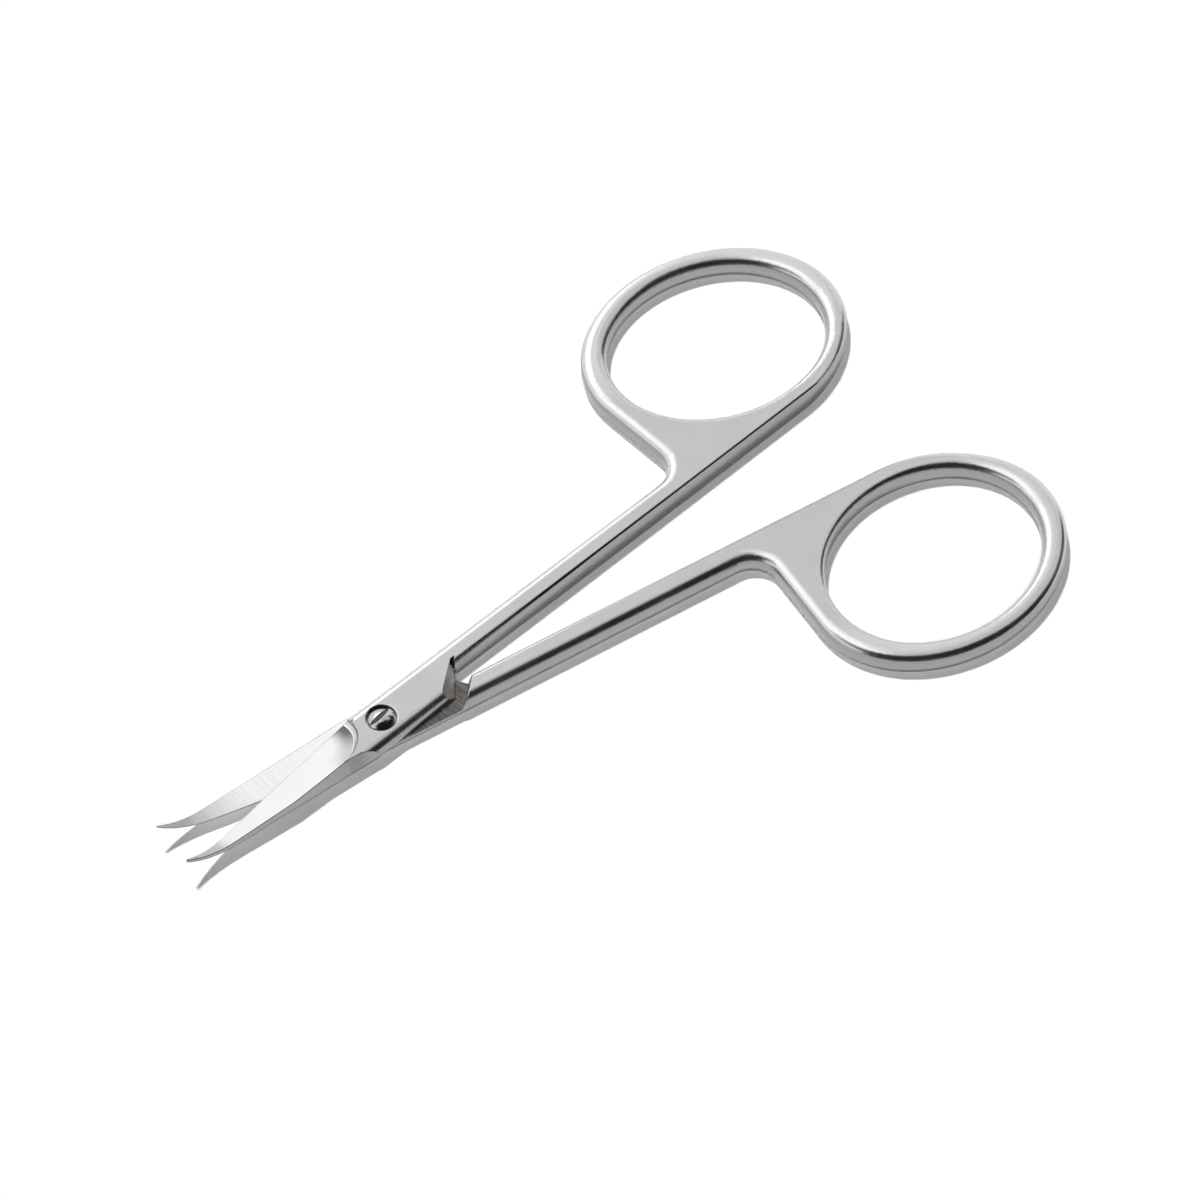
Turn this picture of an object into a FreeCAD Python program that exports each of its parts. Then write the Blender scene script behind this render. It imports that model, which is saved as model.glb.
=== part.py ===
import FreeCAD, Part
import math
import os

# Cuticle scissors: two crossed steel halves on a slotted pivot screw.
# Millimetres. X runs from the blades to the finger rings along the bisector
# of the halves, Z is the pivot axis, and Z = 0 is the table they lie on.

Vector = FreeCAD.Vector

# Stock and clearances
stock_thickness = 2.6       # full thickness of ring, web and shank
lap_gap = 0.04              # between the two rubbing faces
closing_gap = 0.12          # between the shanks and rings when closed
open_angle = 12.0           # degrees between the halves as they lie
overrun = 6.0               # how far a cutter reaches past the metal

# Finger ring and web
ring_length = 22.0          # opening, the long way
ring_width = 17.94          # opening, the short way
ring_tilt = 11.35           # degrees the long axis leans to the other half
ring_distance = 52.5        # pivot to ring centre, along the shank
ring_end_wall = 2.44        # metal at the ends of the long axis
ring_far_wall = 2.15        # metal away from the other half
ring_facing_wall = 1.6      # metal towards the other half
ring_round_share = 0.46     # edge radius as a share of the thinnest round wall
web_round = 0.65            # edge radius of the opening beside the web
crisp_round = 0.15          # edge radius along the far part of the facing edge
notch_radius = 2.6          # inside corner between shank and ring
round_start = -30.0         # degrees on the ring where it is fully round, facing side
round_end = 150.0           # degrees on the opening where it stops being round
web_start = 185.0           # degrees on the opening where the flat web begins
web_end = 280.0             # degrees on the opening where the flat web ends

# Shank
shank_end_width = 2.14      # beside the notch
shank_round = 1.1           # edge radius along the back
facing_round = 0.5          # edge radius of the facing edge beside the stop
facing_round_run = 29.0     # how far along the shank that radius shrinks to the crisp one

# Joint plate
plate_half_width = 2.38     # pivot to either side of the plate
plate_round = 1.15          # edge radius on the open side of the upper plate
lower_plate_round = 0.5     # and of the lower plate, beside the table
stop_distance = 8.95        # pivot to where the stop faces' feet meet the facing edge
stop_angle = 50.0           # degrees between the feet of the stop faces and the shank
stop_top_distance = 8.2     # the plate's stop face at its top, along the facing edge
stop_top_angle = 36.0       # degrees between that top edge and the shank
wall_lean = 0.45            # how far the wall facing it leans back over its height
stop_gap = 0.04             # from each foot to the line where they would meet

# Blade
blade_length = 22.85        # pivot to tip
tip_width = 0.2
edge_start = 2.6            # pivot to the heel of the cutting edge
edge_belly = 0.15           # outward bow of the cutting edge
edge_land = 0.14            # metal left at the cutting edge
bevel_slope_share = 0.335   # rise of the bevel for each unit across the blade
spine_start = 2.9           # pivot to where the spine leaves the plate side
spine_ledge = 1.38          # pivot line to the spine's top edge where the spine is thick
spine_run_start = 5.5       # pivot to where that edge starts to run out to the plate side
spine_run_radius = 7.0      # plan radius of the run-out
tip_bend_start_share = 0.788    # of the blade length, from the pivot to where the tip curls up
tip_bend_radius_share = 0.328   # radius of that curl as a share of the blade length
tip_bend_reach = 60.0       # degrees of curl the grinders cover, past the tip
seam_share = 0.94           # where the curled tip meets the flat blade
grind_radius = 4.2          # plan radius of the hollow at the bevel's heel
grind_round = 0.65          # corner radius of that hollow
grind_advance = 3.7         # heel of the edge to the hollow's centre, along the edge
grind_offset = 0.05         # the hollow's centre outside the edge

# Pivot screw
head_radius = 1.27
head_recess_gap = 0.15      # dark ring round the head
head_recess_round = 0.12    # edge radius of the recess at the plate's face
head_height = 0.58          # seat to rim
head_rim_drop = 0.1         # rim below the plate's face
head_crown = 0.4            # height of the dome above its rim
bearing_radius = 1.0
bearing_gap = 0.03
thread_radius = 0.75
thread_gap = 0.02
slot_width = 0.58
slot_depth = 0.5            # from the top of the dome
slot_angle = 9.0            # degrees from X
seat_gap = 0.02             # under the head

lap_height = stock_thickness / 2
lap_face = lap_gap / 2
facing_edge = closing_gap / 2
tilt = -math.radians(ring_tilt)
tip_bend_start = tip_bend_start_share * blade_length
tip_bend_radius = tip_bend_radius_share * blade_length
ring_round = ring_round_share * min(ring_far_wall, ring_end_wall)
opening_half_length = ring_length / 2
opening_half_width = ring_width / 2
ring_half_length = opening_half_length + ring_end_wall
ring_half_width = opening_half_width + (ring_far_wall + ring_facing_wall) / 2
ring_reach = math.hypot(ring_half_length * math.sin(tilt), ring_half_width * math.cos(tilt))
ring_centre = Vector(ring_distance, facing_edge + ring_reach, 0)
opening_centre = ring_centre - Vector(0, (ring_far_wall - ring_facing_wall) / 2, 0)
up = Vector(0, 0, 1)
origin = Vector(0, 0, 0)


def ellipse(centre, half_length, half_width):
    curve = Part.Ellipse()
    curve.MajorRadius = half_length
    curve.MinorRadius = half_width
    curve.Center = centre
    curve.AngleXU = tilt
    return curve


def angle_facing(direction):
    """Angle on the ring's outer ellipse where its outward normal has this direction."""
    along = direction.x * math.cos(tilt) + direction.y * math.sin(tilt)
    across = direction.y * math.cos(tilt) - direction.x * math.sin(tilt)
    return math.atan2(ring_half_width * across, ring_half_length * along)


def arc_edge(curve, start, end):
    return Part.Arc(curve, start, end).toShape()


def stop_foot(y):
    """Point at this y on the foot of the plate's stop face."""
    run = (facing_edge - y) / math.tan(math.radians(stop_angle))
    return Vector(stop_distance - stop_gap - run, y, 0)


def stop_top(y):
    """Point at this y on the top edge of the plate's stop face."""
    run = (facing_edge - y) / math.tan(math.radians(stop_top_angle))
    return Vector(stop_top_distance - run, y, lap_height)


def closed_lines(points):
    return [Part.makeLine(a, b) for a, b in zip(points, points[1:] + points[:1])]


def half_outline():
    """Named edges of one half seen from above, closed position, anticlockwise."""
    outer = ellipse(ring_centre, ring_half_length, ring_half_width)
    touch = angle_facing(Vector(0, -1, 0))
    back = angle_facing(Vector(-1, 0, 0)) + 2 * math.pi
    turn = math.radians(round_start)
    ring_touch = outer.value(touch)
    ring_back = outer.value(back)
    shank_back = facing_edge + shank_end_width
    notch_centre = Vector(ring_back.x - notch_radius, shank_back + notch_radius, 0)
    notch_top = notch_centre + Vector(notch_radius, 0, 0)
    notch_foot = notch_centre - Vector(0, notch_radius, 0)
    notch_middle = notch_centre + Vector(1, -1, 0).normalize() * notch_radius
    heel = Vector(-edge_start, plate_half_width, 0)
    back_end = heel + (heel - notch_foot).normalize() * (blade_length + overrun - edge_start)
    side_end = Vector(-blade_length - overrun, -plate_half_width, 0)
    stop_inner = stop_foot(facing_edge)
    stop_outer = stop_foot(-plate_half_width)
    facing_bend = stop_inner + Vector(facing_round_run, 0, 0)
    return {
        "facing": Part.makeLine(stop_inner, facing_bend),
        "facing_far": Part.makeLine(facing_bend, ring_touch),
        "ring_turn": arc_edge(outer, touch, turn),
        "ring": arc_edge(outer, turn, back),
        "web_side": Part.makeLine(ring_back, notch_top),
        "notch": Part.Arc(notch_top, notch_middle, notch_foot).toShape(),
        "back": Part.makeLine(notch_foot, back_end),
        "end": Part.makeLine(back_end, side_end),
        "plate_side": Part.makeLine(side_end, stop_outer),
        "stop": Part.makeLine(stop_outer, stop_inner),
    }


def opening_outline():
    """Named edges of the finger opening."""
    inner = ellipse(opening_centre, opening_half_length, opening_half_width)
    stops = [math.radians(value) for value in (round_start, round_end, web_start, web_end)]
    stops.append(stops[0] + 2 * math.pi)
    names = ("far_side", "fade_in", "web", "fade_out")
    return {name: arc_edge(inner, stops[i], stops[i + 1]) for i, name in enumerate(names)}


def middle_of(edge):
    return edge.valueAt((edge.FirstParameter + edge.LastParameter) / 2)


def rounded(solid, plan_edges, radii, level):
    """Round the plan edges at the faces level above and below the lap plane.

    radii gives each named edge its radius at its start and at its end."""
    document = FreeCAD.newDocument("rounding")
    source = document.addObject("Part::Feature", "source")
    source.Shape = solid
    feature = document.addObject("Part::Fillet", "feature")
    feature.Base = source
    chosen = []
    for height in (level, -level):
        lift = Vector(0, 0, height)
        for name, (start_radius, end_radius) in radii.items():
            plan = plan_edges[name]
            target = middle_of(plan) + lift
            number = min(range(len(solid.Edges)),
                         key=lambda i: middle_of(solid.Edges[i]).distanceToPoint(target))
            edge = solid.Edges[number]
            start = plan.valueAt(plan.FirstParameter) + lift
            forward = (edge.valueAt(edge.FirstParameter).distanceToPoint(start)
                       < edge.valueAt(edge.LastParameter).distanceToPoint(start))
            pair = (start_radius, end_radius) if forward else (end_radius, start_radius)
            chosen.append((number + 1,) + pair)
    feature.Edges = chosen
    document.recompute()
    result = feature.Shape.copy()
    FreeCAD.closeDocument(document.Name)
    return result


def blank(side_round):
    """One half as forged, at full thickness; side_round is the plate's edge radius."""
    outline = half_outline()
    opening = opening_outline()
    plate = Part.Face(Part.Wire(list(outline.values())))
    hole = Part.Face(Part.Wire(list(opening.values())))
    plate = plate.cut(hole).Faces[0]
    plate.translate(up * -lap_height)
    solid = plate.extrude(up * stock_thickness)
    radii = {
        "facing": (facing_round, crisp_round),
        "facing_far": (crisp_round, crisp_round),
        "ring_turn": (crisp_round, ring_round),
        "ring": (ring_round, ring_round),
        "web_side": (ring_round, ring_round),
        "notch": (ring_round, shank_round),
        "back": (shank_round, shank_round),
        "plate_side": (side_round, side_round),
        "far_side": (ring_round, ring_round),
        "fade_in": (ring_round, web_round),
        "web": (web_round, web_round),
        "fade_out": (web_round, ring_round),
    }
    return rounded(solid, {**outline, **opening}, radii, lap_height)


def lap_cutter():
    """Takes away the layer that the other half's plate and blade lie in."""
    angle = math.radians(stop_angle)
    along = Vector(math.cos(angle), -math.sin(angle), 0)
    ahead = Vector(math.sin(angle), math.cos(angle), 0)
    reach = blade_length + stop_distance + overrun
    deep = -lap_height - overrun
    lean = wall_lean * (lap_face - deep) / lap_height
    start = Vector(stop_distance + stop_gap, 0, 0) - along * reach
    section = [(-reach, lap_face), (0, lap_face), (lean, deep), (-reach, deep)]
    points = [start + ahead * forward + up * height for forward, height in section]
    face = Part.Face(Part.makePolygon(points + points[:1]))
    return face.extrude(along * (2 * reach))


def stop_cutter():
    """Leans the plate's stop face back towards the pivot, more on the open side."""
    past_top = (lap_height + lap_face) / lap_height
    triangles = []
    for low_y, high_y in ((-plate_half_width - overrun, -plate_half_width - overrun),
                          (facing_edge, facing_edge + facing_round)):
        foot = stop_foot(low_y)
        top = foot + (stop_top(high_y) - foot) * past_top
        wall = stop_foot(high_y) + Vector(stop_gap, 0, lap_height)
        wall = foot + (wall - foot) * past_top
        triangles.append(Part.makePolygon([foot, top, wall, foot]))
    return Part.makeLoft(triangles, True, True)


def cutting_edge():
    """The bowed cutting edge seen from above, from its heel to the tip."""
    heel = Vector(-edge_start, plate_half_width, 0)
    edge_tip = Vector(-blade_length, tip_width / 2, 0)
    outward = (heel - edge_tip).cross(up).normalize() * -1
    bow = (heel + edge_tip) / 2 + outward * edge_belly
    return heel, edge_tip, Part.Arc(heel, bow, edge_tip).toShape()


def blade_outline():
    """The blade seen from above, from inside the plate to the tip."""
    heel, edge_tip, edge = cutting_edge()
    spine_tip = Vector(-blade_length, -tip_width / 2, 0)
    spine_corner = Vector(-spine_start, -plate_half_width, 0)
    nose = Vector(-blade_length - tip_width / 2, 0, 0)
    edges = [
        edge,
        Part.Arc(edge_tip, nose, spine_tip).toShape(),
        Part.makeLine(spine_tip, spine_corner),
        Part.makeLine(spine_corner, heel),
    ]
    return Part.Face(Part.Wire(edges))


def beside_edge_cutter():
    """Everything outside the cutting edge, for trimming the blade strip."""
    high = lap_height + overrun
    heel, edge_tip, edge = cutting_edge()
    side = plate_half_width + overrun
    corners = [edge_tip, Vector(-blade_length - overrun, tip_width / 2, 0),
               Vector(-blade_length - overrun, side, 0), Vector(-edge_start, side, 0), heel]
    edges = [edge] + [Part.makeLine(corners[i], corners[i + 1]) for i in range(len(corners) - 1)]
    face = Part.Face(Part.Wire(edges))
    face.translate(up * -high)
    return face.extrude(up * (2 * high))


def spine_point(x):
    """Point at this x on the foot of the blade's spine."""
    share = (x + spine_start) / (spine_start - blade_length)
    return Vector(x, share * (plate_half_width - tip_width / 2) - plate_half_width, 0)


def spine_cutter():
    """Everything outside the spine, which leans in where the blade is thick."""
    drop = plate_half_width + plate_round - spine_ledge
    sweep = math.acos(1 - drop / spine_run_radius)
    bend = Vector(-spine_run_start, -spine_ledge, 0)
    start, middle = [bend + Vector(math.sin(angle), math.cos(angle) - 1, 0) * spine_run_radius
                     for angle in (sweep, sweep / 2)]
    upright_share = (plate_half_width - spine_ledge) / (plate_half_width - tip_width / 2)
    upright = -spine_start - upright_share * (blade_length - spine_start)
    end = -blade_length - overrun
    side = -plate_half_width - overrun
    foot = [spine_point(x) for x in (start.x, bend.x, upright, end)]
    foot += [Vector(end, side, 0), Vector(start.x, side, 0)]
    top = [start, bend] + foot[2:]
    low = Part.Wire(closed_lines(foot))
    high = Part.Wire([Part.Arc(start, middle, bend).toShape()] + closed_lines(top)[1:])
    high.translate(up * (lap_height + lap_face))
    return Part.makeLoft([low, high], True, True)


def bevel_frame():
    """Along the edge to the tip, across the blade, and the heel of the bevel plane."""
    heel = Vector(-edge_start, plate_half_width, lap_face + edge_land)
    edge_tip = Vector(-blade_length, tip_width / 2, lap_face + edge_land)
    along = (edge_tip - heel).normalize()
    across = along.cross(up)
    if across.y > 0:
        across = -across
    return along, across, heel


def heel_grinder():
    """The ground hollow where the bevel runs out into the plate."""
    along, across, heel = bevel_frame()
    inner = grind_radius - grind_round
    diagonal = math.sqrt(0.5)
    height = stock_thickness + overrun
    profile = Part.Wire([
        Part.makeLine(origin, Vector(inner, 0, 0)),
        Part.Arc(Vector(inner, 0, 0),
                 Vector(inner + grind_round * diagonal, 0, grind_round * (1 - diagonal)),
                 Vector(grind_radius, 0, grind_round)).toShape(),
        Part.makeLine(Vector(grind_radius, 0, grind_round), Vector(grind_radius, 0, height)),
        Part.makeLine(Vector(grind_radius, 0, height), Vector(0, 0, height)),
        Part.makeLine(Vector(0, 0, height), origin),
    ])
    tool = Part.Face(profile).revolve(origin, up, 360)
    sloped = (across + up * bevel_slope_share).normalize()
    normal = along.cross(sloped)
    if normal.z < 0:
        normal = -normal
    centre = heel + along * grind_advance - sloped * grind_offset
    tool.Placement = FreeCAD.Placement(centre, FreeCAD.Rotation(along, origin, normal, "ZXY"))
    return tool


def blade_grinder(curl):
    """Everything above the bevel, which follows the curl of the tip."""
    along, across, heel = bevel_frame()
    start = heel + along * grind_advance
    bend_distance = tip_bend_start - edge_start
    bend = heel + along * bend_distance
    radius = tip_bend_radius - curl * (lap_face + edge_land)
    centre = Vector(bend.x, bend.y, curl * tip_bend_radius)

    def on_arc(degrees):
        angle = math.radians(degrees)
        return centre + along * (radius * math.sin(angle)) - up * (curl * radius * math.cos(angle))

    ceiling = tip_bend_radius + overrun
    bend = on_arc(0)
    middle, end = on_arc(tip_bend_reach / 2), on_arc(tip_bend_reach)
    over_end = Vector(end.x, end.y, ceiling)
    over_start = Vector(start.x, start.y, ceiling)
    profile = Part.Wire([
        Part.makeLine(start, bend),
        Part.Arc(bend, middle, end).toShape(),
        Part.makeLine(end, over_end),
        Part.makeLine(over_end, over_start),
        Part.makeLine(over_start, start),
    ])
    sloped = across + up * bevel_slope_share
    face = Part.Face(profile)
    face.translate(sloped * -overrun)
    return face.extrude(sloped * (2 * overrun))


def rubbing_core(curl):
    """Solid of revolution under the rubbing face: flat, then curling with the tip."""
    radius = tip_bend_radius - curl * lap_face
    centre = Vector(tip_bend_start, 0, curl * tip_bend_radius)

    def on_arc(degrees):
        angle = math.radians(degrees)
        return centre + Vector(radius * math.sin(angle), 0, -curl * radius * math.cos(angle))

    floor = -tip_bend_radius - overrun
    middle, end = on_arc(tip_bend_reach / 2), on_arc(tip_bend_reach)
    profile = Part.Wire([
        Part.makeLine(Vector(0, 0, floor), Vector(end.x, 0, floor)),
        Part.makeLine(Vector(end.x, 0, floor), end),
        Part.Arc(end, middle, on_arc(0)).toShape(),
        Part.makeLine(on_arc(0), Vector(0, 0, lap_face)),
        Part.makeLine(Vector(0, 0, lap_face), Vector(0, 0, floor)),
    ])
    return Part.Face(profile).revolve(origin, up, 360)


def past_seam(seam_x):
    """Everything on the tip's side of the seam."""
    reach = blade_length + overrun
    return Part.makeBox(reach, 2 * reach, 2 * reach, Vector(seam_x - reach, -reach, -reach))


def curled_tip(curl, seam_x):
    """The end of the blade past the seam."""
    reach = tip_bend_radius
    face = blade_outline()
    face.translate(up * -reach)
    solid = face.extrude(up * (2 * reach))
    solid = solid.common(past_seam(seam_x))
    solid = solid.cut(rubbing_core(curl))
    return solid.cut(blade_grinder(curl))


def half(curl, side_round):
    """One half with its plate uppermost; curl is 1 where the tip bends up, -1 down."""
    seam_x = -tip_bend_start * seam_share
    solid = blank(side_round).cut(past_seam(seam_x))
    solid = solid.cut(lap_cutter())
    solid = solid.cut(stop_cutter())
    solid = solid.cut(beside_edge_cutter())
    solid = solid.cut(spine_cutter())
    solid = solid.cut(heel_grinder())
    solid = solid.cut(blade_grinder(curl))
    solid = solid.fuse(curled_tip(curl, seam_x)).removeSplitter()
    return solid.Solids[0]


def recess_cutter():
    """The recess for the screw's head, with its mouth rounded."""
    floor = lap_height - head_rim_drop - head_height - seat_gap
    wall = head_radius + head_recess_gap
    lip = wall + head_recess_round
    lip_foot = lap_height - head_recess_round
    swell = head_recess_round * math.sqrt(0.5)
    high = stock_thickness
    corners = [Vector(lip, 0, lap_height), Vector(lip, 0, high), Vector(0, 0, high),
               Vector(0, 0, floor), Vector(wall, 0, floor), Vector(wall, 0, lip_foot)]
    edges = closed_lines(corners)[:-1]
    mouth = Part.Arc(corners[-1], Vector(lip - swell, 0, lip_foot + swell), corners[0]).toShape()
    return Part.Face(Part.Wire(edges + [mouth])).revolve(origin, up, 360)


def upper_half():
    solid = half(1, plate_round)
    bore = Part.makeCylinder(bearing_radius + bearing_gap, stock_thickness, up * -lap_height)
    solid = solid.cut(bore).cut(recess_cutter())
    solid.rotate(origin, up, open_angle / 2)
    solid.translate(up * lap_height)
    return solid


def lower_half():
    solid = half(-1, lower_plate_round)
    tapped = Part.makeCylinder(thread_radius + thread_gap, stock_thickness, up * -lap_height)
    solid = solid.cut(tapped)
    solid.rotate(origin, Vector(1, 0, 0), 180)
    solid.rotate(origin, up, -open_angle / 2)
    solid.translate(up * lap_height)
    return solid


def pivot_screw():
    """Shoulder screw: domed slotted head, bearing and plain thread envelope."""
    rim = stock_thickness - head_rim_drop
    under = rim - head_height
    seat = lap_height - lap_face
    crown = rim + head_crown
    dome_radius = (head_radius ** 2 + head_crown ** 2) / (2 * head_crown)
    half_way = head_radius / 2
    dome_middle = crown - dome_radius + math.sqrt(dome_radius ** 2 - half_way ** 2)
    profile = Part.Wire([
        Part.makeLine(origin, Vector(thread_radius, 0, 0)),
        Part.makeLine(Vector(thread_radius, 0, 0), Vector(thread_radius, 0, seat)),
        Part.makeLine(Vector(thread_radius, 0, seat), Vector(bearing_radius, 0, seat)),
        Part.makeLine(Vector(bearing_radius, 0, seat), Vector(bearing_radius, 0, under)),
        Part.makeLine(Vector(bearing_radius, 0, under), Vector(head_radius, 0, under)),
        Part.makeLine(Vector(head_radius, 0, under), Vector(head_radius, 0, rim)),
        Part.Arc(Vector(head_radius, 0, rim), Vector(half_way, 0, dome_middle),
                 Vector(0, 0, crown)).toShape(),
        Part.makeLine(Vector(0, 0, crown), origin),
    ])
    screw = Part.Face(profile).revolve(origin, up, 360)
    slot = Part.makeBox(2 * overrun, slot_width, overrun,
                        Vector(-overrun, -slot_width / 2, crown - slot_depth))
    slot.rotate(origin, up, slot_angle)
    return screw.cut(slot)


def main():
    os.makedirs("parts", exist_ok=True)
    pieces = {
        "upper_half": upper_half(),
        "lower_half": lower_half(),
        "pivot_screw": pivot_screw(),
    }
    for name, shape in pieces.items():
        box = shape.BoundBox
        print(name, shape.isValid(), len(shape.Solids), round(shape.Volume, 2),
              [round(v, 2) for v in (box.XMin, box.XMax, box.YMin, box.YMax, box.ZMin, box.ZMax)])
        shape.exportStep("parts/" + name + ".step")


main()
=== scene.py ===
import math
from types import SimpleNamespace

import bmesh
import bpy
from mathutils import Matrix, Vector

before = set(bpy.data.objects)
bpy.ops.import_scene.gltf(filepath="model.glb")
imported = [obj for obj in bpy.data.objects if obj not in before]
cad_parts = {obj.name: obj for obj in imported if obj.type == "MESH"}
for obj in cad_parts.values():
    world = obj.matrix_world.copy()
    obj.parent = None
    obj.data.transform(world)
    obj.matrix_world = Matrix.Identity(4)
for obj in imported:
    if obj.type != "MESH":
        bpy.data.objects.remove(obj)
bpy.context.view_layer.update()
mm = 0.001
edgeRadius = 0.12 * mm  # how far edge wear reaches
bumpDepth = 0.02 * mm
print("frame loaded:", ", ".join(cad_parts))

photoCamera = {
    "lens": 145.24,  # on a 36 mm sensor
    "heading": 36.17,  # degrees from the part's X to the picture's right
    "elevation": 53.376,
    "roll": -1.553,
    "across": 19.616 * mm,
    "up": 12.109 * mm,
    "distance": 437.53 * mm,
}


def placeCamera():
    look = photoCamera
    turn = Matrix.Rotation(-math.radians(look["heading"]), 4, "Z")
    turn = turn @ Matrix.Rotation(math.radians(90 - look["elevation"]), 4, "X")
    turn = turn @ Matrix.Rotation(math.radians(look["roll"]), 4, "Z")
    data = bpy.data.cameras.new("photoCamera")
    data.lens = look["lens"]
    data.sensor_width = 36
    data.clip_start = 0.01
    data.clip_end = 20
    data.dof.use_dof = False
    camera = bpy.data.objects.new("photoCamera", data)
    bpy.context.collection.objects.link(camera)
    camera.matrix_world = turn @ Matrix.Translation((look["across"], look["up"], look["distance"]))
    bpy.context.scene.camera = camera
    print("camera at", [round(v, 4) for v in camera.matrix_world.translation])


def newMaterial(name):
    material = bpy.data.materials.new(name)
    material.use_nodes = True
    material.node_tree.nodes.clear()
    return material, material.node_tree


def newGroup(name, takes, gives):
    tree = bpy.data.node_groups.new(name, "ShaderNodeTree")
    for label, kind, value in takes:
        socket = tree.interface.new_socket(name=label, in_out="INPUT", socket_type="NodeSocket" + kind)
        if value is not None:
            socket.default_value = value
    for label, kind in gives:
        tree.interface.new_socket(name=label, in_out="OUTPUT", socket_type="NodeSocket" + kind)
    return tree, tree.nodes.new("NodeGroupInput"), tree.nodes.new("NodeGroupOutput")


def addNode(tree, kind, **settings):
    node = tree.nodes.new("ShaderNode" + kind)
    for key, value in settings.items():
        setattr(node, key, value)
    return node


def feed(tree, source, socket):
    if isinstance(source, bpy.types.NodeSocket):
        tree.links.new(source, socket)
    else:
        socket.default_value = source


def maths(tree, operation, first, second=None, third=None, clamp=False):
    node = addNode(tree, "Math", operation=operation, use_clamp=clamp)
    for socket, source in zip(node.inputs, (first, second, third)):
        if source is not None:
            feed(tree, source, socket)
    return node.outputs[0]


def times(tree, *sources):
    result = sources[0]
    for source in sources[1:]:
        result = maths(tree, "MULTIPLY", result, source)
    return result


def most(tree, *sources):
    result = sources[0]
    for source in sources[1:]:
        result = maths(tree, "MAXIMUM", result, source)
    return result


def remap(tree, source, low, high, toLow=0.0, toHigh=1.0):
    node = addNode(tree, "MapRange", interpolation_type="SMOOTHSTEP")
    labels = ("Value", "From Min", "From Max", "To Min", "To Max")
    for label, value in zip(labels, (source, low, high, toLow, toHigh)):
        feed(tree, value, node.inputs[label])
    return node.outputs[0]


def fadeOut(tree, source, low, high):
    return remap(tree, source, low, high, 1.0, 0.0)


def lengthOf(tree, first, second):
    squares = maths(tree, "ADD", times(tree, first, first), times(tree, second, second))
    return maths(tree, "SQRT", squares)


def blendColour(tree, amount, first, second):
    node = addNode(tree, "Mix", data_type="RGBA")
    feed(tree, amount, node.inputs["Factor"])
    feed(tree, first, node.inputs[6])
    feed(tree, second, node.inputs[7])
    return node.outputs[2]


def addMix(tree, amount, first, second):
    node = addNode(tree, "Mix", data_type="FLOAT")
    feed(tree, amount, node.inputs["Factor"])
    feed(tree, first, node.inputs[2])
    feed(tree, second, node.inputs[3])
    return node.outputs[0]


def useGroup(tree, group, **values):
    node = tree.nodes.new("ShaderNodeGroup")
    node.node_tree = group
    for label, value in values.items():
        feed(tree, value, node.inputs[label])
    return node


def addBump(tree, height, strength, normal):
    bump = addNode(tree, "Bump")
    bump.inputs["Distance"].default_value = bumpDepth
    bump.inputs["Strength"].default_value = strength
    feed(tree, height, bump.inputs["Height"])
    feed(tree, normal, bump.inputs["Normal"])
    return bump.outputs[0]


def finishTree(tree, shader, kind="OutputMaterial"):
    result = addNode(tree, kind)
    feed(tree, shader.outputs[0], result.inputs["Surface"])


def makeGrainGroup():
    takes = [
        ("Vector", "Vector", None),
        ("Along", "Float", 300.0),
        ("Across", "Float", 5000.0),
        ("Detail", "Float", 3.0),
    ]
    tree, source, result = newGroup("grindGrain", takes, [("Streaks", "Float")])
    scale = addNode(tree, "CombineXYZ")
    feed(tree, source.outputs["Along"], scale.inputs[0])
    feed(tree, source.outputs["Across"], scale.inputs[1])
    feed(tree, source.outputs["Across"], scale.inputs[2])
    stretch = addNode(tree, "VectorMath", operation="MULTIPLY")
    feed(tree, source.outputs["Vector"], stretch.inputs[0])
    feed(tree, scale.outputs[0], stretch.inputs[1])
    noise = addNode(tree, "TexNoise", noise_dimensions="3D")
    noise.inputs["Scale"].default_value = 1.0
    noise.inputs["Roughness"].default_value = 0.6
    feed(tree, stretch.outputs[0], noise.inputs["Vector"])
    feed(tree, source.outputs["Detail"], noise.inputs["Detail"])
    feed(tree, noise.outputs["Fac"], result.inputs["Streaks"])
    return tree


# nearness to a sharp edge: it drives the painted edge highlights and dark lines, and eases the normal
def makeEdgeGroup():
    takes = [("Gain", "Float", 4.0)]
    tree, source, result = newGroup("edgeNearness", takes, [("Edge", "Float"), ("Normal", "Vector")])
    soft = addNode(tree, "Bevel", samples=6)
    soft.inputs["Radius"].default_value = edgeRadius
    own = addNode(tree, "NewGeometry")
    same = addNode(tree, "VectorMath", operation="DOT_PRODUCT")
    feed(tree, soft.outputs[0], same.inputs[0])
    feed(tree, own.outputs["Normal"], same.inputs[1])
    nearEdge = maths(tree, "SUBTRACT", 1.0, same.outputs["Value"])
    nearEdge = maths(tree, "MULTIPLY", nearEdge, source.outputs["Gain"], clamp=True)
    feed(tree, nearEdge, result.inputs["Edge"])
    feed(tree, soft.outputs[0], result.inputs["Normal"])
    return tree


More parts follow.
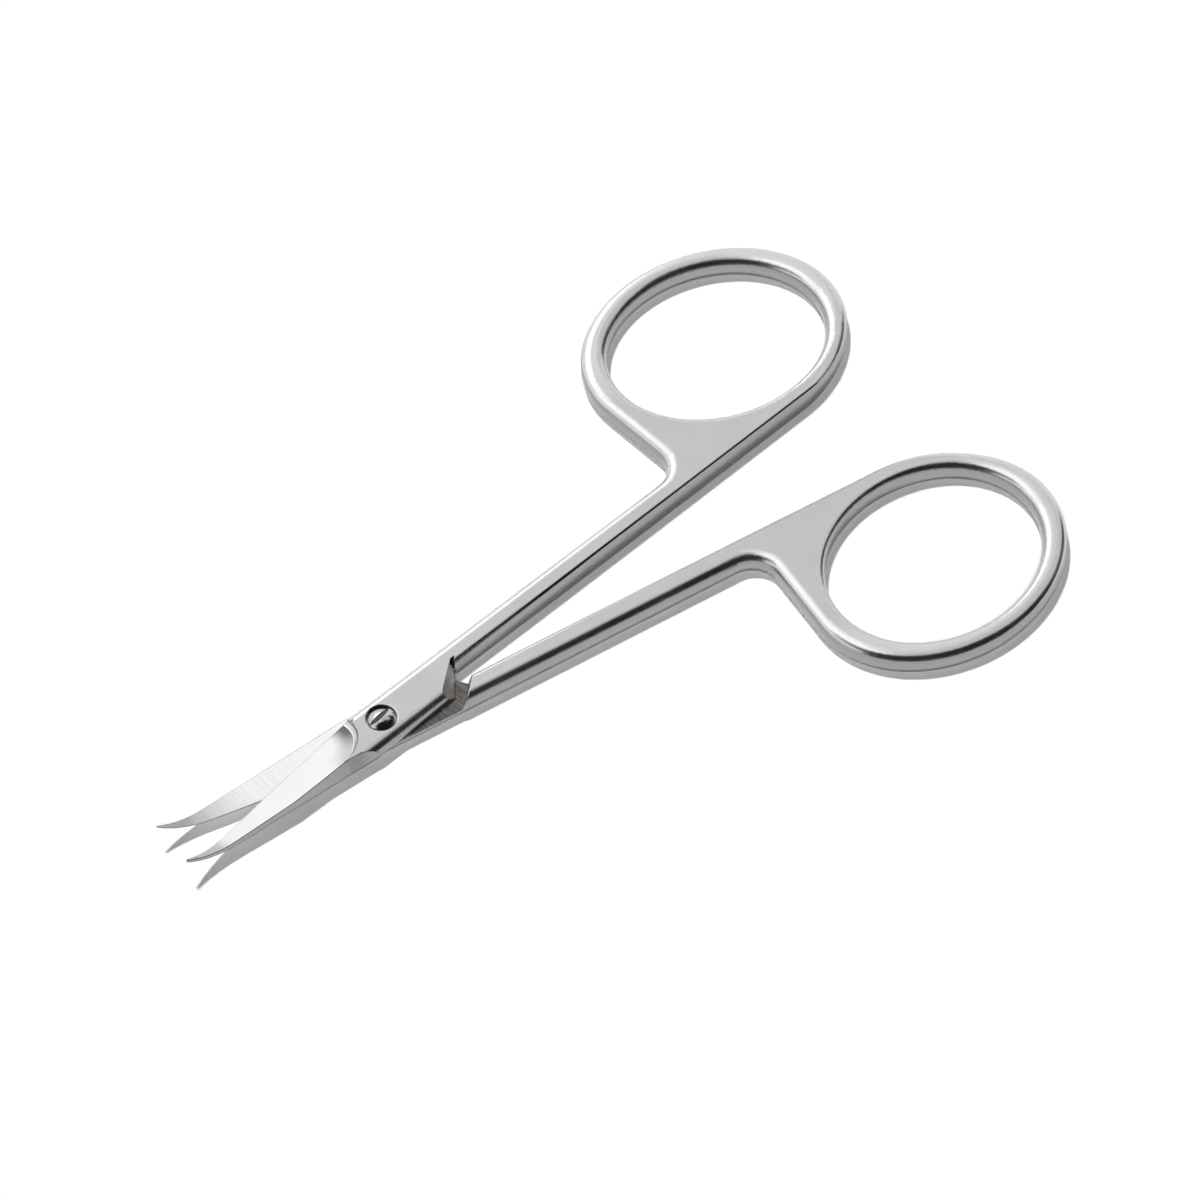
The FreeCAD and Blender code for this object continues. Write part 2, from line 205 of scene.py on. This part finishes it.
halfFinish = {
    "satinColour": (0.56, 0.552, 0.549, 1),  # flats
    "wallShadeColour": (0.35, 0.338, 0.328, 1),  # upright sides, painted darker as shade
    "roundColour": (0.68, 0.672, 0.668, 1),  # polished rounds
    "groundColourLitByHalf": {1: (0.52, 0.519, 0.518, 1), -1: (0.89, 0.888, 0.886, 1)},  # ground blade faces; each half has its own lightness, a painted reflection, the lower half's far lighter
    "heelColour": (0.07, 0.068, 0.066, 1),  # shade in the hollow at the bevel's heel
    "stopShadeColour": (0.26, 0.247, 0.236, 1),  # brushed stop faces, painted dark as shade
    "jointShadeColour": (0.06, 0.056, 0.052, 1),  # painted shade on the rubbing face beside the stop, between the parts
    "shadedRubColour": (0.22, 0.21, 0.20, 1),  # rub streaks on that face, inside the painted shade
    "tipColour": (0.30, 0.287, 0.275, 1),  # darker towards the points
    # painted highlight along the edges
    "edgeHighlightColour": (0.74, 0.73, 0.725, 1),
    "paintedLineColour": (0.05, 0.047, 0.044, 1),  # painted dark reflection line along the facing edge and the spine
    "grimeColour": (0.12, 0.115, 0.11, 1),  # in the clouds and the grain
    "edgeHighlightShare": 0.35,
    "lineShade": {1: 0.95, -1: 0.4},
    "tipShade": {1: 0.12, -1: 0.85},  # mostly on the lower half's point
    "cloudShade": 0.06,
    "streakShade": 0.03,
    "bladeStreakShade": 0.14,
    "satinRough": 0.30,
    "wallRough": 0.26,
    "roundRough": 0.25,
    "groundRough": 0.20,
    "grainRough": 0.008,  # more or less by the grain
    "cloudRough": 0.02,  # more or less by the clouds
    "satinMetal": 0.55,  # brushed flats scatter light from all round
    "ringScatter": 0.45,  # of the flats' scatter
    "bevelScatter": 0.7,
    "bump": 0.06,
    "flatBump": 0.4,  # of the blade's bump
    "shankGrain": {"Along": 420.0, "Across": 6500.0, "Detail": 3.0},
    "bladeGrain": {"Along": 330.0, "Across": 7200.0, "Detail": 6.0},
    "bladeGrainTurn": -80.0,  # degrees from the half's length
    "cloudSize": 240.0,
    "cloudDetail": 4.0,
    "edgeGain": 3.0,
    "lineGain": 30.0,
    "halfTurn": 6.0,  # degrees each half stands open
    "flatSlope": (0.985, 0.9995),  # each slope is upright's size where a finish comes in
    "satinSlope": (0.94, 0.995),
    "wallSlope": (0.42, 0.62),
    "bladeWallSlope": (0.78, 0.88),
    "stopSlope": (0.97, 0.99),
    "stopAhead": (0.25, 0.45),
    "bevelSlopeFrom": (0.90, 0.925),
    "bevelSlopeTo": (0.968, 0.985),
    "curlSlope": (0.35, 0.55),
    "lineSlope": (0.2, 0.4),
    "lapHeight": 1.3 * mm,
    "lapReach": (0.1 * mm, 0.2 * mm),
    "bladeFrom": (-1.7 * mm, -1.5 * mm),  # along the half, from the pivot
    "spineFrom": (-3.5 * mm, -2.9 * mm),
    "curlFrom": (-18.0 * mm, -17.0 * mm),
    "tipFade": (-22.0 * mm, -13.0 * mm),
    "bladeStreakFade": (-13.0 * mm, -5.0 * mm),
    "stopFrom": (4.0 * mm, 4.5 * mm),
    "stopTo": (9.6 * mm, 10.2 * mm),
    "jointFade": (0.0, 2.0 * mm),
    "lineFrom": (14.0 * mm, 22.0 * mm),
    "lineWidth": (0.2 * mm, 0.3 * mm),
    "bladeMiddle": (0.0303, 0.717 * mm),  # slope and start of the line half-way across the blade
    "middleBlur": (-0.1 * mm, 0.1 * mm),
    "heelCentre": (-6.28 * mm, 1.97 * mm),
    "heelShade": (1.5 * mm, 3.4 * mm),
    "heelFade": (-7.0 * mm, -5.0 * mm),
    "heelSides": (-0.8 * mm, 1.6 * mm),
    "hollowEdge": (4.3 * mm, 4.4 * mm),
    "hollowFade": (-0.2 * mm, 0.0),
    "ringCentre": (52.5 * mm, 11.0 * mm),
    "ringTurn": 70.0,  # degrees, the side of the ring away from its web
    "ringFade": (-0.3, 0.05),
    "ringFrom": (34.0 * mm, 38.0 * mm),
    "crispAlong": (9.5 * mm, 10.5 * mm),  # edges are eased up to here
    "crispAcross": (0.5 * mm, 0.8 * mm),
}


def ringMask(tree, x, across):
    look = halfFinish
    fromRing = addNode(tree, "CombineXYZ")
    feed(tree, maths(tree, "SUBTRACT", x, look["ringCentre"][0]), fromRing.inputs[0])
    feed(tree, maths(tree, "SUBTRACT", across, look["ringCentre"][1]), fromRing.inputs[1])
    outward = addNode(tree, "VectorMath", operation="NORMALIZE")
    feed(tree, fromRing.outputs[0], outward.inputs[0])
    farSide = addNode(tree, "VectorMath", operation="DOT_PRODUCT")
    feed(tree, outward.outputs[0], farSide.inputs[0])
    turn = math.radians(look["ringTurn"])
    farSide.inputs[1].default_value = (math.cos(turn), math.sin(turn), 0)
    beyondWeb = remap(tree, farSide.outputs["Value"], *look["ringFade"])
    return times(tree, beyondWeb, remap(tree, x, *look["ringFrom"]))


def halfPlaces(tree, side):
    look = halfFinish
    place = addNode(tree, "TexCoord")
    along = addNode(tree, "Mapping")  # turned so that X runs down this half
    along.inputs["Rotation"].default_value = (0, 0, -side * math.radians(look["halfTurn"]))
    feed(tree, place.outputs["Object"], along.inputs["Vector"])
    parts = addNode(tree, "SeparateXYZ")
    feed(tree, along.outputs[0], parts.inputs[0])
    facing = addNode(tree, "SeparateXYZ")
    feed(tree, place.outputs["Normal"], facing.inputs[0])
    upright = maths(tree, "ABSOLUTE", facing.outputs["Z"])
    x = parts.outputs["X"]
    across = times(tree, parts.outputs["Y"], side)

    onRing = ringMask(tree, x, across)
    offRing = maths(tree, "SUBTRACT", 1.0, onRing)
    flat = times(tree, remap(tree, upright, *look["flatSlope"]), offRing)
    onBlade = fadeOut(tree, x, *look["bladeFrom"])
    pastPlate = fadeOut(tree, x, *look["spineFrom"])
    bladeWall = times(tree, pastPlate, fadeOut(tree, upright, *look["bladeWallSlope"]))
    wall = most(tree, fadeOut(tree, upright, *look["wallSlope"]), bladeWall)
    ahead = remap(tree, facing.outputs["X"], *look["stopAhead"])
    ahead = times(tree, ahead, fadeOut(tree, upright, *look["stopSlope"]))
    stopFace = times(tree, ahead, remap(tree, x, *look["stopFrom"]), fadeOut(tree, x, *look["stopTo"]))
    lapGap = maths(tree, "SUBTRACT", parts.outputs["Z"], look["lapHeight"])
    lap = times(tree, flat, fadeOut(tree, maths(tree, "ABSOLUTE", lapGap), *look["lapReach"]))
    curl = times(tree, fadeOut(tree, x, *look["curlFrom"]), remap(tree, upright, *look["curlSlope"]))

    heelX = maths(tree, "SUBTRACT", x, look["heelCentre"][0])
    heelY = maths(tree, "SUBTRACT", across, look["heelCentre"][1])
    heelGap = lengthOf(tree, heelX, heelY)
    inHollow = most(tree, fadeOut(tree, heelGap, *look["hollowEdge"]),
                    fadeOut(tree, heelX, *look["hollowFade"]))
    slope = times(tree, remap(tree, upright, *look["bevelSlopeFrom"]),
                  fadeOut(tree, upright, *look["bevelSlopeTo"]))
    bevel = times(tree, slope, times(tree, onBlade, inHollow))
    heel = times(tree, remap(tree, heelGap, *look["heelShade"]), remap(tree, x, *look["heelFade"]))
    heel = times(tree, heel, remap(tree, across, *look["heelSides"], 0.4, 1.0), bevel)
    return SimpleNamespace(
        object=place.outputs["Object"], vector=along.outputs[0], x=x, across=across, upright=upright,
        onRing=onRing, flat=flat, wall=wall, onBlade=onBlade, stopFace=stopFace, lap=lap, bevel=bevel,
        heel=heel, ground=most(tree, bevel, most(tree, lap, curl)),
    )


def halfMarks(tree, at, side):
    look = halfFinish
    shank = useGroup(tree, grainGroup, Vector=at.vector, **look["shankGrain"])
    acrossBlade = addNode(tree, "Mapping")
    acrossBlade.inputs["Rotation"].default_value = (0, 0, math.radians(look["bladeGrainTurn"]) * side)
    feed(tree, at.vector, acrossBlade.inputs["Vector"])
    blade = useGroup(tree, grainGroup, Vector=acrossBlade.outputs[0], **look["bladeGrain"])
    edgeNode = useGroup(tree, edgeGroup, Gain=look["edgeGain"])
    cloud = addNode(tree, "TexNoise")
    cloud.inputs["Scale"].default_value = look["cloudSize"]
    cloud.inputs["Detail"].default_value = look["cloudDetail"]
    feed(tree, at.object, cloud.inputs["Vector"])
    return SimpleNamespace(
        shank=shank.outputs["Streaks"], blade=blade.outputs["Streaks"], cloud=cloud.outputs["Fac"],
        edge=edgeNode.outputs["Edge"], easedNormal=edgeNode.outputs["Normal"],
    )


def groundTone(tree, at, marks, side):
    look = halfFinish
    tip = times(tree, fadeOut(tree, at.x, *look["tipFade"]), look["tipShade"][side])
    # painted reflection: the ground faces are lighter on the lower half than on the upper
    tone = blendColour(tree, tip, look["groundColourLitByHalf"][side], look["tipColour"])
    tone = blendColour(tree, at.heel, tone, look["heelColour"])
    # painted shade: the rubbing face beside the stop goes near black, streaked by rub marks
    rubbed = remap(tree, marks.blade, 0.42, 0.68)
    joint = blendColour(tree, rubbed, look["jointShadeColour"], look["shadedRubColour"])
    return blendColour(tree, remap(tree, at.x, *look["jointFade"]), tone, joint)


# where the painted dark reflection lines go: along the facing edge, and along the spine's edges
def edgeLine(tree, at, marks):
    look = halfFinish
    inner = times(tree, remap(tree, at.upright, *look["lineSlope"]), fadeOut(tree, at.across, *look["lineWidth"]))
    inner = times(tree, inner, remap(tree, at.x, *look["lineFrom"]))
    middle = maths(tree, "MULTIPLY_ADD", at.x, *look["bladeMiddle"])
    spineSide = fadeOut(tree, maths(tree, "SUBTRACT", at.across, middle), *look["middleBlur"])
    edge = maths(tree, "MULTIPLY", marks.edge, look["lineGain"], clamp=True)
    return most(tree, inner, times(tree, spineSide, at.onBlade, edge))


def halfColour(tree, at, marks, side):
    look = halfFinish
    colour = blendColour(tree, at.flat, look["roundColour"], look["satinColour"])
    # painted shade: upright sides take a darker colour than the flats
    colour = blendColour(tree, at.wall, colour, look["wallShadeColour"])
    colour = blendColour(tree, at.ground, colour, groundTone(tree, at, marks, side))
    # painted shade on the stop faces, picked by the way they face
    colour = blendColour(tree, at.stopFace, colour, look["stopShadeColour"])
    # painted highlight along the edges
    colour = blendColour(tree, times(tree, marks.edge, look["edgeHighlightShare"]), colour, look["edgeHighlightColour"])
    # painted reflection: dark lines along the facing edge and the spine
    line = times(tree, edgeLine(tree, at, marks), look["lineShade"][side])
    colour = blendColour(tree, line, colour, look["paintedLineColour"])
    grime = maths(tree, "ADD", remap(tree, marks.cloud, 0.3, 0.7, look["cloudShade"], 0.0),
                  remap(tree, marks.shank, 0.3, 0.7, look["streakShade"], 0.0))
    streaks = remap(tree, marks.blade, 0.35, 0.62, look["bladeStreakShade"], 0.0)
    streaked = times(tree, at.lap, remap(tree, at.x, *look["bladeStreakFade"], 1.0, 0.15))
    grime = addMix(tree, at.ground, grime, times(tree, streaks, streaked))
    return blendColour(tree, grime, colour, look["grimeColour"])


def halfRoughness(tree, at, marks):
    look = halfFinish
    rough = addMix(tree, at.flat, look["roundRough"], look["satinRough"])
    rough = addMix(tree, at.wall, rough, look["wallRough"])
    rough = addMix(tree, at.ground, rough, look["groundRough"])
    grain = remap(tree, marks.shank, 0.25, 0.75, -look["grainRough"], look["grainRough"])
    rough = maths(tree, "ADD", rough, times(tree, at.flat, grain))
    clouds = remap(tree, marks.cloud, 0.3, 0.7, -look["cloudRough"], look["cloudRough"])
    return maths(tree, "ADD", rough, clouds, clamp=True)


def halfMetal(tree, at):
    look = halfFinish
    level = remap(tree, at.upright, *look["satinSlope"])
    level = times(tree, level, remap(tree, at.onRing, 0.0, 1.0, 1.0, look["ringScatter"]))
    level = most(tree, level, times(tree, at.bevel, look["bevelScatter"]))
    return addMix(tree, level, 1.0, look["satinMetal"])


def halfNormal(tree, at, marks):
    look = halfFinish
    shankHeight = times(tree, marks.shank, times(tree, at.flat, look["flatBump"]))
    height = addMix(tree, at.ground, shankHeight, marks.blade)
    crisp = most(tree, fadeOut(tree, at.x, *look["crispAlong"]), fadeOut(tree, at.across, *look["crispAcross"]))
    own = addNode(tree, "NewGeometry")
    eased = addNode(tree, "Mix", data_type="VECTOR")
    feed(tree, crisp, eased.inputs["Factor"])
    feed(tree, own.outputs["Normal"], eased.inputs[4])
    feed(tree, marks.easedNormal, eased.inputs[5])
    return addBump(tree, height, look["bump"], eased.outputs[1])


def halfMaterial(name, side):
    material, tree = newMaterial(name)
    at = halfPlaces(tree, side)
    marks = halfMarks(tree, at, side)
    steel = addNode(tree, "BsdfPrincipled")
    feed(tree, halfMetal(tree, at), steel.inputs["Metallic"])
    feed(tree, halfColour(tree, at, marks, side), steel.inputs["Base Color"])
    feed(tree, halfRoughness(tree, at, marks), steel.inputs["Roughness"])
    feed(tree, halfNormal(tree, at, marks), steel.inputs["Normal"])
    finishTree(tree, steel)
    return material


screwFinish = {
    "colour": (0.62, 0.605, 0.59, 1),
    "stain": (0.42, 0.40, 0.38, 1),
    # painted highlight along the edges
    "edgeHighlightColour": (0.8, 0.79, 0.78, 1),
    "edgeHighlightShare": 0.5,
    "edgeGain": 3.0,
    "gloss": (0.10, 0.20),
    "bump": 0.1,
    "turning": {"Along": 9000.0, "Across": 2500.0, "Detail": 2.0},
    "domeFrom": (2.48 * mm, 2.49 * mm),  # just under the rim
    "domeSlope": (0.5, 0.6),
    "swell": 1.15 * mm,  # height that the dome's reflections are drawn from
}


def domeNormal(tree, parts):
    look = screwFinish
    fromCentre = addNode(tree, "CombineXYZ")
    feed(tree, parts.outputs["X"], fromCentre.inputs[0])
    feed(tree, parts.outputs["Y"], fromCentre.inputs[1])
    fromCentre.inputs[2].default_value = look["swell"]
    away = addNode(tree, "VectorTransform", vector_type="NORMAL", convert_from="OBJECT", convert_to="WORLD")
    feed(tree, fromCentre.outputs[0], away.inputs[0])
    own = addNode(tree, "NewGeometry")
    level = addNode(tree, "SeparateXYZ")
    feed(tree, own.outputs["True Normal"], level.inputs[0])
    dome = times(tree, remap(tree, level.outputs["Z"], *look["domeSlope"]),
                 remap(tree, parts.outputs["Z"], *look["domeFrom"]))
    both = addNode(tree, "Mix", data_type="VECTOR")
    feed(tree, dome, both.inputs["Factor"])
    feed(tree, own.outputs["Normal"], both.inputs[4])
    feed(tree, away.outputs[0], both.inputs[5])
    return both.outputs[1]


def screwMaterial():
    look = screwFinish
    material, tree = newMaterial("screwSteel")
    place = addNode(tree, "TexCoord")
    parts = addNode(tree, "SeparateXYZ")
    feed(tree, place.outputs["Object"], parts.inputs[0])
    rings = addNode(tree, "CombineXYZ")  # turning marks run round the axis
    feed(tree, lengthOf(tree, parts.outputs["X"], parts.outputs["Y"]), rings.inputs[0])
    feed(tree, parts.outputs["Z"], rings.inputs[1])
    turned = useGroup(tree, grainGroup, Vector=rings.outputs[0], **look["turning"]).outputs["Streaks"]
    edgeNode = useGroup(tree, edgeGroup, Gain=look["edgeGain"])
    tint = remap(tree, turned, 0.3, 0.75, 0.35, 0.0)
    colour = blendColour(tree, tint, look["colour"], look["stain"])
    # painted highlight along the edges
    colour = blendColour(tree, times(tree, edgeNode.outputs["Edge"], look["edgeHighlightShare"]), colour, look["edgeHighlightColour"])
    steel = addNode(tree, "BsdfPrincipled")
    steel.inputs["Metallic"].default_value = 1.0
    feed(tree, colour, steel.inputs["Base Color"])
    feed(tree, remap(tree, turned, 0.25, 0.75, *look["gloss"]), steel.inputs["Roughness"])
    feed(tree, addBump(tree, turned, look["bump"], domeNormal(tree, parts)), steel.inputs["Normal"])
    finishTree(tree, steel)
    return material


def dress(nodeName, material):
    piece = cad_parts[nodeName]
    for slot in piece.material_slots:
        slot.link = "OBJECT"
        slot.material = material
    print("dressed", nodeName, "with", material.name)


studio = {
    "heading": -36.17,  # the studio stands square to the picture
    "floorSize": 6.0,
    "floorColour": (0.98, 0.98, 0.98, 1),
    "suns": {  # strength, spread in degrees, travel
        "keyLight": (2.42, 5.0, (0.062, -0.80, -2.6)),
        "fillLight": (1.0, 5.0, (0.352, 0.481, -0.803)),  # from beside the camera
    },
    "worldLight": 0.04,
    "panelHeight": 0.5,
    "panels": {  # right, away, width, depth, glow
        "overheadBox": (-0.45, -0.01, 0.86, 0.44, 0.55),
        "rearBox": (-0.55, 0.945, 0.74, 1.31, 1.12),
    },
    "cardRadius": 0.9,
    "cardSteps": (12, 24),  # down and round
    "cards": {  # from and to overhead, from and to round the stand (degrees), glow
        "cameraFlag": (23, 86, -128, -30, 0.012),
        "rightFlag": (26, 88, -30, -2, 0.015),
        "rightFlagFar": (48, 88, -2, 12, 0.015),
        "sideFlag": (60, 88, 12, 44, 0.06),
        "leftFlag": (36, 62, -170, -128, 0.2),
        "rightCard": (1, 26, -30, -2, 0.7),
        "rightCardFar": (1, 48, -2, 12, 0.7),
        "frontCard": (3, 23, -95, -30, 0.5),
        "farCard": (1, 60, 12, 75, 0.75),
    },
}


def studioTurn():
    return Matrix.Rotation(math.radians(studio["heading"]), 4, "Z")


def makeFloor():
    mesh = bpy.data.meshes.new("floor")
    shape = bmesh.new()
    bmesh.ops.create_grid(shape, x_segments=1, y_segments=1, size=studio["floorSize"] / 2)
    shape.to_mesh(mesh)
    shape.free()
    floor = bpy.data.objects.new("floor", mesh)
    bpy.context.collection.objects.link(floor)
    material, tree = newMaterial("palePaper")
    paper = addNode(tree, "BsdfPrincipled")
    paper.inputs["Base Color"].default_value = studio["floorColour"]
    paper.inputs["Roughness"].default_value = 0.9
    paper.inputs["Specular IOR Level"].default_value = 0.0
    finishTree(tree, paper)
    mesh.materials.append(material)


def makeCard(name, fromTop, toTop, fromSide, toSide, glow):
    mesh = bpy.data.meshes.new(name)
    shape = bmesh.new()
    top = math.radians(fromTop)
    spot = Vector((math.sin(top), 0, math.cos(top))) * studio["cardRadius"]
    first = bmesh.ops.create_vert(shape, co=spot)["vert"]
    centre = (0, 0, 0)
    drop = math.radians(toTop - fromTop)
    bmesh.ops.spin(shape, geom=first, cent=centre, axis=(0, 1, 0), angle=drop, steps=studio["cardSteps"][0])
    start = Matrix.Rotation(math.radians(fromSide), 3, "Z")
    bmesh.ops.rotate(shape, verts=shape.verts[:], cent=centre, matrix=start)
    strip = shape.verts[:] + shape.edges[:]
    sweep = math.radians(toSide - fromSide)
    bmesh.ops.spin(shape, geom=strip, cent=centre, axis=(0, 0, 1), angle=sweep, steps=studio["cardSteps"][1])
    bmesh.ops.transform(shape, verts=shape.verts[:], matrix=studioTurn())
    shape.to_mesh(mesh)
    shape.free()
    card = bpy.data.objects.new(name, mesh)
    bpy.context.collection.objects.link(card)
    material, tree = newMaterial(name + "Cloth")
    cloth = addNode(tree, "Emission")
    cloth.inputs["Strength"].default_value = glow
    finishTree(tree, cloth)
    material.cycles.emission_sampling = "NONE"
    mesh.materials.append(material)
    for ray in ("camera", "diffuse", "shadow", "transmission"):
        setattr(card, "visible_" + ray, False)


def makeLights():
    for name, (strength, spread, travel) in studio["suns"].items():
        sun = bpy.data.lights.new(name, "SUN")
        sun.energy = strength
        sun.angle = math.radians(spread)
        lamp = bpy.data.objects.new(name, sun)
        bpy.context.collection.objects.link(lamp)
        lamp.rotation_mode = "QUATERNION"
        lamp.rotation_quaternion = Vector(travel).to_track_quat("-Z", "Y")
        lamp.visible_glossy = False
    for name, (right, away, width, depth, glow) in studio["panels"].items():
        box = bpy.data.lights.new(name, "AREA")
        box.shape = "RECTANGLE"
        box.size, box.size_y = width, depth
        box.energy = glow * math.pi * width * depth
        lamp = bpy.data.objects.new(name, box)
        bpy.context.collection.objects.link(lamp)
        lamp.matrix_world = studioTurn() @ Matrix.Translation((right, away, studio["panelHeight"]))
        lamp.visible_diffuse = False


def makeWorld():
    world = bpy.data.worlds.new("whiteRoom")
    bpy.context.scene.world = world
    world.use_nodes = True
    tree = world.node_tree
    tree.nodes.clear()
    rays = addNode(tree, "LightPath")
    seen = most(tree, *[rays.outputs[f"Is {ray} Ray"] for ray in ("Camera", "Glossy", "Transmission")])
    light = addNode(tree, "Background")
    light.inputs["Strength"].default_value = studio["worldLight"]
    light.inputs["Color"].default_value = (1, 1, 1, 1)
    shown = addNode(tree, "Background")
    shown.inputs["Strength"].default_value = 1.0
    shown.inputs["Color"].default_value = (1, 1, 1, 1)
    both = addNode(tree, "MixShader")
    feed(tree, seen, both.inputs[0])
    feed(tree, light.outputs[0], both.inputs[1])
    feed(tree, shown.outputs[0], both.inputs[2])
    finishTree(tree, both, "OutputWorld")


placeCamera()
grainGroup = makeGrainGroup()
edgeGroup = makeEdgeGroup()
dress("upper_half", halfMaterial("upperSteel", 1))
dress("lower_half", halfMaterial("lowerSteel", -1))
dress("pivot_screw", screwMaterial())
makeFloor()
for name, spread in studio["cards"].items():
    makeCard(name, *spread)
makeLights()
makeWorld()
bpy.context.scene.view_settings.view_transform = "Standard"
print("studio set")
